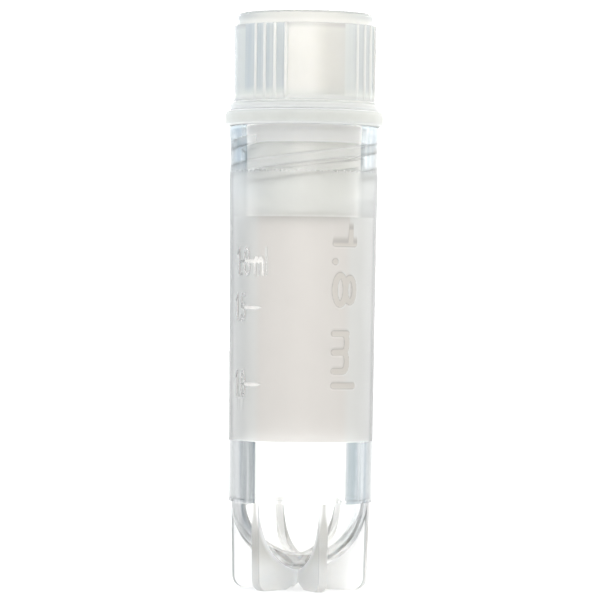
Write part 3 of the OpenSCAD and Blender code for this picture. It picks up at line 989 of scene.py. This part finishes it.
def flute_zones(w, cap, across, depth):
    """Masks of the cap's fluted groups and of the flutes between their ribs, where painted shade
    goes, half as strong towards +X and broken up by flow lines. A group's tint has its middle a
    little before the ribs' own, and a point's turn is counted from the nearest one:
    (turn - first middle + half a sector) modulo a sector - half a sector."""
    turn = w.maths("ARCTAN2", across, w.product(depth, -1.0))
    sector = 2 * math.pi / cap.rib_groups
    middle = cap.rib_turn - cap.rib_pitch * 0.75
    local = w.maths("SUBTRACT", w.maths("FLOORED_MODULO", w.maths(
        "SUBTRACT", turn, middle - sector / 2), sector), sector / 2)
    half = cap.rib_pitch * (cap.rib_count / 2 + 0.25)
    grip, foot, crown = cap.grip_r / MM, cap.rib_foot / MM, cap.crown_foot / MM
    fluted = w.product(
        w.step(w.maths("ABSOLUTE", local), half, half - 0.03),
        w.step(w.radius, grip - 0.1, grip - 0.05),
        w.product(w.step(w.height, foot - 0.1, foot + 0.1), w.step(w.height, crown, crown - 0.1)))
    on_rib = w.step(w.radius, grip + 0.02, grip + 0.08)
    # Painted shade between the ribs, half as strong towards +X.
    flute_shade = w.product(fluted, w.without(on_rib), w.line(w.streaks(2.2), -0.3, 0.85),
                      w.line(w.step(across, 0.0, 3.0), -0.5, 1.0))
    return fluted, flute_shade


def cap_material(finish, cap):
    """Milky natural polypropylene: light passes, spread by the haze in the plastic. It is
    cloudier where it is thick. Painted shade makes it darker and cooler where it is seen
    edgeways, cooler in the flutes between the ribs, darker at the right front of the plain grip,
    just under the crown and on a band low on the grip, against its highlight; painted light
    makes it lighter in the crease above the flange and at the crown's foot. It is also darker on
    the crown and round the recess's brink."""
    w = Surface("Milky polypropylene")
    cloud, specks = w.haze(0.4, 5.0)
    across, depth, _ = w.parts(w.mm)
    fluted, flute_shade = flute_zones(w, cap, across, depth)
    grip, crown_foot, top = cap.grip_r / MM, cap.crown_foot / MM, TOP_HEIGHT / MM
    colour = w.mix(cloud, rgba(finish.milky), rgba(finish.milky, 0.965))
    # Painted shade: darker and cooler where the cap is seen edgeways.
    colour = w.mix(w.step(w.facing(), 0.02, 0.5), colour, rgba(finish.milky_edge_shade))
    # Painted shade in the flutes.
    colour = w.mix(flute_shade, colour, rgba(finish.flute_shade))
    floor, plug = cap.recess_floor / MM, cap.plug_r / MM
    thick = w.product(w.step(w.height, floor + 0.7, floor - 0.3),
                      w.step(w.radius, plug + 0.2, plug + 0.6))
    colour = w.mix(thick, colour, rgba(finish.milky_thick, 1.27))
    # Painted shade on the right front of the plain grip.
    right_front_shade = w.product(w.product(w.step(across, 0.2, 2.2), w.step(depth, 0.0, -2.0)),
                      w.without(fluted), w.step(w.height, crown_foot, crown_foot - 0.05))
    colour = w.shaded(right_front_shade, colour, 0.86)
    foot = (SEAL_HEIGHT + cap.flange_height) / MM
    # Painted shade on the grip's foot, against its highlight, and painted light in the crease
    # above the flange.
    colour = w.banded(colour, (foot + 0.6, foot + 0.3, finish.grip_foot_shade),
                      (foot + 0.2, foot + 0.05, finish.grip_crease_light))
    crown = w.step(w.height, crown_foot - 0.02, crown_foot + 0.02)
    colour = w.shaded(crown, colour, 0.88)
    # Painted light at the crown's foot, against the shade of the ledge.
    crown_foot_light = w.product(crown, w.step(w.height, crown_foot + 0.6, crown_foot + 0.1))
    colour = w.mix(crown_foot_light, colour, rgba(finish.crown_foot_light))
    # Painted shade on the plain grip just under the crown.
    under_crown_shade = w.product(w.step(w.height, crown_foot - 0.55, crown_foot - 0.1),
                     w.without(w.maths("MAXIMUM", crown, fluted)),
                     w.step(w.radius, grip - 0.2, grip - 0.1))
    colour = w.shaded(under_crown_shade, colour, 0.79)
    recess = cap.recess_r / MM
    brink = w.product(w.step(w.height, top - 0.3, top - 0.12),
                      w.step(w.radius, recess + 0.2, recess + 0.4))
    colour = w.shaded(brink, colour, finish.brink)
    return w.finished(Base_Color=colour, Roughness=w.line(specks, 0.05, 0.16), IOR=PLASTIC_IOR,
                      Transmission_Weight=0.45, Subsurface_Weight=1.0,
                      Subsurface_Radius=MILKY_SPREAD, Subsurface_Scale=1.5 * MM,
                      Normal=w.ripple(0.45, 0.006 * MM))


def ring_material(finish):
    """Translucent silicone: matt, with a faint powdery bloom and fine grain. Its upper rounding is
    painted darker, as shade against its highlight, up to a painted light line under the flange
    against the crease's shade, and its lower one is painted lighter, against the shade by the rim."""
    w = Surface("Silicone")
    cloud, specks = w.haze(0.8, 12.0)
    low, high = RIM_HEIGHT / MM, SEAL_HEIGHT / MM
    # Painted shade on the upper rounding, a painted light line under the flange and painted light
    # on the lower rounding.
    colour = w.banded(
        w.mix(cloud, rgba(finish.rubber), rgba(finish.rubber, 0.95)),
        (high - 0.3, high - 0.05, finish.ring_lip_shade),
        (high - 0.11, high - 0.05, finish.ring_crease_light),
        (low + 0.2, low + 0.05, finish.ring_foot_light))
    return w.finished(Base_Color=colour, Roughness=w.line(specks, 0.15, 0.45), IOR=SILICONE_IOR,
                      Specular_IOR_Level=0.15, Transmission_Weight=0.1, Subsurface_Weight=1.0,
                      Subsurface_Radius=MILKY_SPREAD, Subsurface_Scale=2 * MM,
                      Normal=w.ripple(6.0, 0.004 * MM))


def floor_material(finish):
    """Smooth white paper with a trace of mottle."""
    w = Surface("Studio paper")
    cloud, _ = w.haze(0.02, 0.6)
    colour = w.mix(cloud, rgba(finish.floor), rgba(finish.floor, 0.985))
    return w.finished(Base_Color=colour, Roughness=0.9, Emission_Color=(1.0, 1.0, 1.0, 1.0),
                      Emission_Strength=0.4)


def settings():
    """The scene's vial settings."""
    return bpy.context.scene.vial


class VIAL_OT_tube(bpy.types.Operator):
    """Builds the tube with its thread, raised marks and star foot as one moulded piece"""
    bl_idname = "vial.tube"
    bl_label = "Build Tube"

    def execute(self, context):
        """Turns the tube's profile, raises its marks and thread, and joins the fins."""
        s = settings()
        tube, marks, thread = s.tube, s.marks, s.thread
        shell = turned("tube", *tube_surface(tube, marks, thread))
        shell.materials.append(tube_material(s.finish, tube, marks))
        shell.materials.append(plug_material(s.finish, "Cloudy polypropylene ridges", 0.6, 0.0))
        across, depth, level = centres(shell)
        ridges = (np.hypot(across, depth) < tube.neck_bore_r - 2 * ON_WALL) & (
            level > tube.shoulder_height + tube.bore_step)
        shell.polygons.foreach_set("material_index", ridges.astype(np.int32))
        piece = placed("tube", shell, "tube", ["vial"])
        join_fins(piece, s.foot, tube, fin_material(s.finish, s.foot, tube))
        return {"FINISHED"}


def tube_surface(tube, marks, thread):
    """Radius grid, heights and turns of the tube without its foot. The profile runs from the
    middle of the round bottom up the outside, over the rim and down the bore to its floor.
    The marks are added to it, and the parting lip's unevenness and the thread are taken off."""
    lip = tube.base_height + tube.lip_height
    rim, edge = RIM_HEIGHT, 0.06 * MM
    bowl = arc(tube.base_height, tube.bowl_r, -90, 0, 30)
    outside = rounded([
        (*bowl[-1], 0),
        (tube.base_r + tube.lip_relief, tube.base_height, 0.03 * MM),
        (tube.base_r + tube.lip_relief, lip, 0.03 * MM),
        (body_radius(tube, lip), lip, 0),
        *((body_radius(tube, height), height, 0) for height in MARK_ZONE),
        (tube.shoulder_r, tube.shoulder_height, 3.0 * MM),
        (tube.neck_r, tube.neck_foot, 3.0 * MM),
        (tube.neck_r, tube.flare_height, 8.0 * MM),
        (tube.rim_r, rim - tube.rim_band, 5.0 * MM),
        (tube.rim_r, rim, tube.rim_edge),
        (tube.neck_bore_r + tube.mouth_chamfer, rim, edge),
        (tube.neck_bore_r, rim - tube.mouth_chamfer, edge),
        (tube.neck_bore_r, tube.shoulder_height + tube.bore_step, edge),
        (tube.bore_top_r, tube.shoulder_height, edge),
        (tube.bore_r, tube.bore_centre, 0)])
    bore = arc(tube.bore_centre, tube.bore_r, 0, -90, 26)
    profile = np.concatenate([bowl, outside[1:-1], bore])
    middle_r = (tube.neck_bore_r + tube.base_r) / 2

    def longest(radius, height):
        """Longest side at a place: short where the marks and the thread are."""
        marked = (radius > middle_r) & within(height, MARK_ZONE)
        threaded = (radius < middle_r) & within(height, NECK_THREAD_ZONE)
        return np.where(marked, MARK_SIDE, np.where(threaded, NECK_THREAD_SIDE, TUBE_SIDE))

    profile = divided(profile, longest)
    radius, height = profile.T
    turns = even_angles(2.4, [SCALE_TURNS, VOLUME_TURNS])
    grid = np.repeat(radius[:, None], len(turns), 1)
    body = (radius > middle_r) & within(height, (MARK_ZONE[0] - MM, tube.shoulder_height))
    grid[body] += mark_relief(marks, tube, turns, height[body])
    on_lip = (radius > body_radius(tube, lip) + ON_WALL) & (height < lip + ON_WALL)
    grid[on_lip] -= tube.lip_relief * ragged(turns)
    neck = (abs(radius - tube.neck_bore_r) < ON_WALL) & (height > tube.shoulder_height)
    grid[neck] -= thread_relief(thread, thread.neck_level, turns, height[neck])
    return grid, height, turns


def fin_plate(foot, tube):
    """Two opposite fins as one plate, in layers across its thickness. Each layer is the
    outline in the plane through the axis, drawn in by edge * (1 - sin(turn)) at the depth
    edge * (1 - cos(turn)) from the plate's side, so the long edges are round. Returns the
    layers as (radius, height) and their places across the plate. The outline reaches into
    the wall and the round bottom, where the two are joined."""
    root = 0.2 * MM
    side = rounded([
        (0, foot.hollow_rise, 0),
        (foot.hollow_r, 0, 0.8 * MM),
        (foot.bottom_r, 0, foot.corner_r),
        (foot.top_r, tube.base_height, 0),
        (foot.top_r, tube.base_height + root, 0),
        (tube.bowl_r - 0.45 * MM, tube.base_height + root, 0)])
    inner = arc(tube.base_height, tube.bowl_r - 0.55 * MM, 0, -90, 20)
    half = divided(np.concatenate([side[:-1], inner]), short)
    outline = np.concatenate([half, half[-2:0:-1] * [-1, 1]])
    before, after = np.roll(outline, 1, 0), np.roll(outline, -1, 0)
    along = after - before
    along /= np.hypot(*along.T)[:, None]
    inward = np.stack([-along[:, 1], along[:, 0]], 1)
    turns = np.linspace(0, math.pi / 2, 5)
    inset = foot.edge_r * (1 - np.sin(turns))
    depth = foot.edge_r * (1 - np.cos(turns)) - foot.thickness / 2
    rings = outline[None] + inward[None] * np.concatenate([inset, inset[::-1]])[:, None, None]
    return rings, np.concatenate([depth, -depth[::-1]])


def join_fins(piece, foot, tube, satin):
    """Joins the crossing plates to the tube, so that plastic meets plastic with no skin
    between, and marks the sharp edges."""
    rings, depth = fin_plate(foot, tube)
    layers, places = rings.shape[:2]
    at = np.arange(layers * places).reshape(layers, places)
    right = np.roll(at, -1, 1)
    quads = np.stack([at[:-1], at[1:], right[1:], right[:-1]], 2).reshape(-1, 4)
    plates = []
    for k in range(foot.plates):
        turn = foot.turn + math.pi * k / foot.plates
        out = np.array([math.sin(turn), -math.cos(turn), 0])
        across = np.array([math.cos(turn), math.sin(turn), 0])
        points = (rings[..., :1] * out + rings[..., 1:] * [0, 0, 1]
                  + depth[:, None, None] * across).reshape(-1, 3)
        mesh = mesh_of(f"fins_{k}", points, quads, at[:1], at[-1:, ::-1])
        mesh.materials.append(satin)
        plate = bpy.data.objects.new(f"fins_{k}", mesh)
        bpy.context.scene.collection.objects.link(plate)
        plates.append(plate)
    for plate in plates:
        union = piece.modifiers.new("Join " + plate.name, "BOOLEAN")
        union.operation, union.solver, union.object = "UNION", "EXACT", plate
        union.material_mode = "TRANSFER"
    bpy.context.view_layer.update()
    joined = bpy.data.meshes.new_from_object(
        piece.evaluated_get(bpy.context.evaluated_depsgraph_get()))
    piece.modifiers.clear()
    joined.name = "tube"
    piece.data = joined
    joined.polygons.foreach_set("use_smooth", np.ones(len(joined.polygons), bool))
    joined.set_sharp_from_angle(angle=math.radians(38))
    for plate in plates:
        bpy.data.objects.remove(plate)


def centres(mesh):
    """The middles of a mesh's faces, as their x, y and z."""
    found = np.empty(len(mesh.polygons) * 3)
    mesh.polygons.foreach_get("center", found)
    return found.reshape(-1, 3).T


class VIAL_OT_cap(bpy.types.Operator):
    """Builds the screw cap with its plug, thread, grip ribs and recess as one moulded piece"""
    bl_idname = "vial.cap"
    bl_label = "Build Cap"

    def execute(self, context):
        """Turns the cap's profile and raises its ribs and thread."""
        s = settings()
        mesh = turned("cap", *cap_surface(s.cap, s.thread))
        mesh.materials.append(cap_material(s.finish, s.cap))
        mesh.materials.append(plug_material(s.finish))
        mesh.materials.append(flange_material(s.finish, s.cap))
        level = centres(mesh)[2]
        plug = level < SEAL_HEIGHT - s.cap.plug_top
        flange = ~plug & (level < SEAL_HEIGHT + s.cap.flange_height + 0.1 * MM)
        mesh.polygons.foreach_set("material_index", (plug + 2 * flange).astype(np.int32))
        mesh.set_sharp_from_angle(angle=math.radians(50))
        placed("cap", mesh, "screw_cap", ["cap"])
        return {"FINISHED"}


def rib_angles(cap):
    """Turns of the middles of all grip ribs, in radians."""
    groups = cap.rib_turn + 2 * math.pi * np.arange(cap.rib_groups) / cap.rib_groups
    ribs = cap.rib_pitch * (np.arange(cap.rib_count) - (cap.rib_count - 1) / 2)
    return wrapped((groups[:, None] + ribs).ravel())


def cap_surface(cap, thread):
    """Radius grid, heights and turns of the cap. The profile runs from the middle of the
    plug's roof down its bore, up its outside, round flange, grip and crown, and down the
    recess to the middle of its floor. A rib's height above the grip is that of a circle:
    sqrt(round^2 - x^2) - (round - relief), where x is the way from its middle."""
    edge = 0.08 * MM
    profile = rounded([
        (0, SEAL_HEIGHT, 0),
        (cap.plug_bore_r, SEAL_HEIGHT, 0.3 * MM),
        (cap.plug_bore_r, cap.plug_end, edge),
        (cap.plug_r - cap.plug_chamfer, cap.plug_end, edge),
        (cap.plug_r, cap.plug_end + cap.plug_chamfer, edge),
        (cap.plug_r, SEAL_HEIGHT, 0.02 * MM),
        (cap.flange_r, SEAL_HEIGHT, 0.05 * MM),
        (cap.flange_r, SEAL_HEIGHT + cap.flange_height, cap.flange_edge),
        (cap.grip_r, SEAL_HEIGHT + cap.flange_height, 0.15 * MM),
        (cap.grip_r, cap.crown_foot, 0.06 * MM),
        (cap.crown_r, cap.crown_foot, 0.04 * MM),
        (cap.crown_r, TOP_HEIGHT, cap.crown_edge),
        (cap.recess_r, TOP_HEIGHT, 0.12 * MM),
        (cap.recess_r, cap.recess_floor, 0.15 * MM),
        (0, cap.recess_floor, 0)])

    def longest(radius, height):
        """Longest side at a place: short where the thread and the ribs' ends are."""
        threaded = (abs(radius - cap.plug_r) < ON_WALL) & within(height, PLUG_THREAD_ZONE)
        rib_end = (radius > cap.grip_r - 0.1 * MM) & (abs(height - cap.rib_foot) < 0.3 * MM)
        return np.where(threaded | rib_end, CAP_FINE_SIDE, PLAIN_SIDE)

    profile = divided(profile, longest)
    radius, height = profile.T
    ribs = rib_angles(cap)
    reach = cap.rib_round * 1.25 / cap.grip_r
    fine = [(middle - reach, middle + reach, 2 * reach / 12) for middle in ribs]
    turns = even_angles(3.0, [tuple(np.degrees(zone)) for zone in fine])
    grid = np.repeat(radius[:, None], len(turns), 1)
    x = wrapped(turns[:, None] - ribs[None]) * cap.grip_r
    lift = np.sqrt(np.clip(cap.rib_round ** 2 - x ** 2, 0, None)) - (
        cap.rib_round - cap.rib_relief)
    rib = np.clip(lift, 0, None).max(1)
    grip = (radius > cap.grip_r - 0.07 * MM) & (height > cap.rib_foot - 0.2 * MM) & (
        height < cap.crown_foot + 0.001 * MM)
    end = smooth((height[grip] - cap.rib_foot + 0.02 * MM) / (0.15 * MM))
    top = np.clip((radius[grip] - cap.crown_r) / (cap.grip_r - cap.crown_r), 0, 1)
    grid[grip] += rib[None] * (end * top)[:, None]
    plug = (abs(radius - cap.plug_r) < ON_WALL) & (height < RIM_HEIGHT)
    grid[plug] += thread_relief(thread, thread.plug_level, turns, height[plug])
    return grid, height, turns


class VIAL_OT_ring(bpy.types.Operator):
    """Builds the sealing ring between the rim and the cap's flange"""
    bl_idname = "vial.ring"
    bl_label = "Build Sealing Ring"

    def execute(self, context):
        """Turns the ring's rounded section."""
        s = settings()
        ring = s.ring
        inner = 0.05 * MM
        middle = (RIM_HEIGHT + SEAL_HEIGHT) / 2
        loop = rounded([
            (ring.inside_r, middle, 0),
            (ring.inside_r, RIM_HEIGHT, inner),
            (ring.outside_r, RIM_HEIGHT, ring.edge_r),
            (ring.outside_r, SEAL_HEIGHT, ring.edge_r),
            (ring.inside_r, SEAL_HEIGHT, inner),
            (ring.inside_r, middle, 0)])[:-1]
        loop = divided(np.concatenate([loop, loop[:1]]), short)[:-1]
        mesh = turned_ring("sealing_ring", loop, even_angles(2.5))
        mesh.materials.append(ring_material(s.finish))
        mesh.set_sharp_from_angle(angle=math.radians(50))
        placed("sealing_ring", mesh, "ring", ["gasket"])
        return {"FINISHED"}


class VIAL_OT_stage(bpy.types.Operator):
    """Sets up the floor, the soft light and the camera"""
    bl_idname = "vial.stage"
    bl_label = "Set Up Stage"

    def execute(self, context):
        """Adds the floor, the world's light and the camera."""
        s = settings()
        corners = np.array([[-1, -1, 0], [1, -1, 0], [1, 1, 0], [-1, 1, 0]])
        mesh = mesh_of("floor", corners * FLOOR_HALF, np.array([[0, 1, 2, 3]]))
        mesh.materials.append(floor_material(s.finish))
        floor = bpy.data.objects.new("floor", mesh)
        context.scene.collection.objects.link(floor)
        light_world(context.scene, s.studio)
        aim_camera(context.scene, s.studio)
        context.scene.view_settings.view_transform = "Standard"
        return {"FINISHED"}


def light_world(scene, studio):
    """A white surround, dimmer and cooler at the left, a little dimmer at the right and dimmer
    on both sides of the camera, with a brighter upright strip behind the tube's right."""
    world = bpy.data.worlds.new("Studio surround")
    scene.world = world
    world.use_nodes = True
    world.node_tree.nodes.clear()
    w = Wiring(world.node_tree)
    side, depth, rise = w.parts(w.add("ShaderNodeTexCoord").outputs["Generated"])
    before = w.step(depth, 0.1, -0.3)
    light = w.mix(w.step(side, 0.0, -0.7), (1.0, 1.0, 1.0, 1.0), rgba(studio.left))
    light = w.mix(w.step(side, 0.4, 0.95), light, rgba(studio.right))
    light = w.mix(w.product(before, w.step(side, 0.12, 0.55)), light, rgba(studio.front_right))
    light = w.mix(w.product(before, w.step(side, -0.25, -0.7)), light, rgba(studio.front_left))
    level = w.vector("NORMALIZE", w.flattened(side, depth))
    from_strip = w.measure("DISTANCE", level, (
        math.sin(studio.strip_turn), math.cos(studio.strip_turn), 0.0))
    strip = w.product(w.step(from_strip, 0.12, 0.06),
                      w.step(w.maths("ABSOLUTE", rise), 0.6, 0.4))
    background = w.add("ShaderNodeBackground", Color=light,
                       Strength=w.line(strip, studio.strip_power, studio.power))
    w.add("ShaderNodeOutputWorld", _0=background.outputs[0])
    scene.cycles.max_bounces = 32
    scene.cycles.transmission_bounces = 32
    scene.cycles.glossy_bounces = 16
    scene.cycles.diffuse_bounces = 8


def aim_camera(scene, studio):
    """A level camera in front, a long way off, with a slight roll."""
    data = bpy.data.cameras.new("camera")
    data.lens, data.sensor_width = studio.lens, SENSOR_WIDTH
    data.clip_start = 10 * MM
    camera = bpy.data.objects.new("camera", data)
    scene.collection.objects.link(camera)
    spot = Vector((studio.aside, -studio.distance, studio.eye))
    look = Matrix.Rotation(math.pi / 2, 4, "X")
    camera.matrix_world = Matrix.Translation(spot) @ look @ Matrix.Rotation(
        -studio.roll, 4, "Z").inverted()
    scene.camera = camera


class VIAL_PT_panel(bpy.types.Panel):
    """Sizes, colours and the steps that build the vial"""
    bl_idname = "VIAL_PT_panel"
    bl_label = "Cryovial"
    bl_space_type = "VIEW_3D"
    bl_region_type = "UI"
    bl_category = "Cryovial"

    def draw(self, context):
        """Lists each group's settings and the operators."""
        for name, kind in GROUPS.items():
            box = self.layout.box()
            box.label(text=kind.__doc__)
            values = getattr(context.scene.vial, name)
            for key in kind.__annotations__:
                box.prop(values, key)
        for operator in OPERATORS:
            self.layout.operator(operator.bl_idname)


OPERATORS = (VIAL_OT_tube, VIAL_OT_cap, VIAL_OT_ring, VIAL_OT_stage)
CLASSES = (*GROUPS.values(), VialSettings, *OPERATORS, VIAL_PT_panel)


def register():
    """Adds the classes and the scene's settings."""
    for kind in CLASSES:
        bpy.utils.register_class(kind)
    bpy.types.Scene.vial = PointerProperty(type=VialSettings)


def unregister():
    """Removes the classes and the scene's settings."""
    del bpy.types.Scene.vial
    for kind in reversed(CLASSES):
        bpy.utils.unregister_class(kind)


def main():
    """Builds every piece in order."""
    register()
    for operator in OPERATORS:
        category, name = operator.bl_idname.split(".")
        if getattr(getattr(bpy.ops, category), name)() != {"FINISHED"}:
            raise RuntimeError(f"{operator.bl_idname} did not finish")


if __name__ == "__main__":
    main()
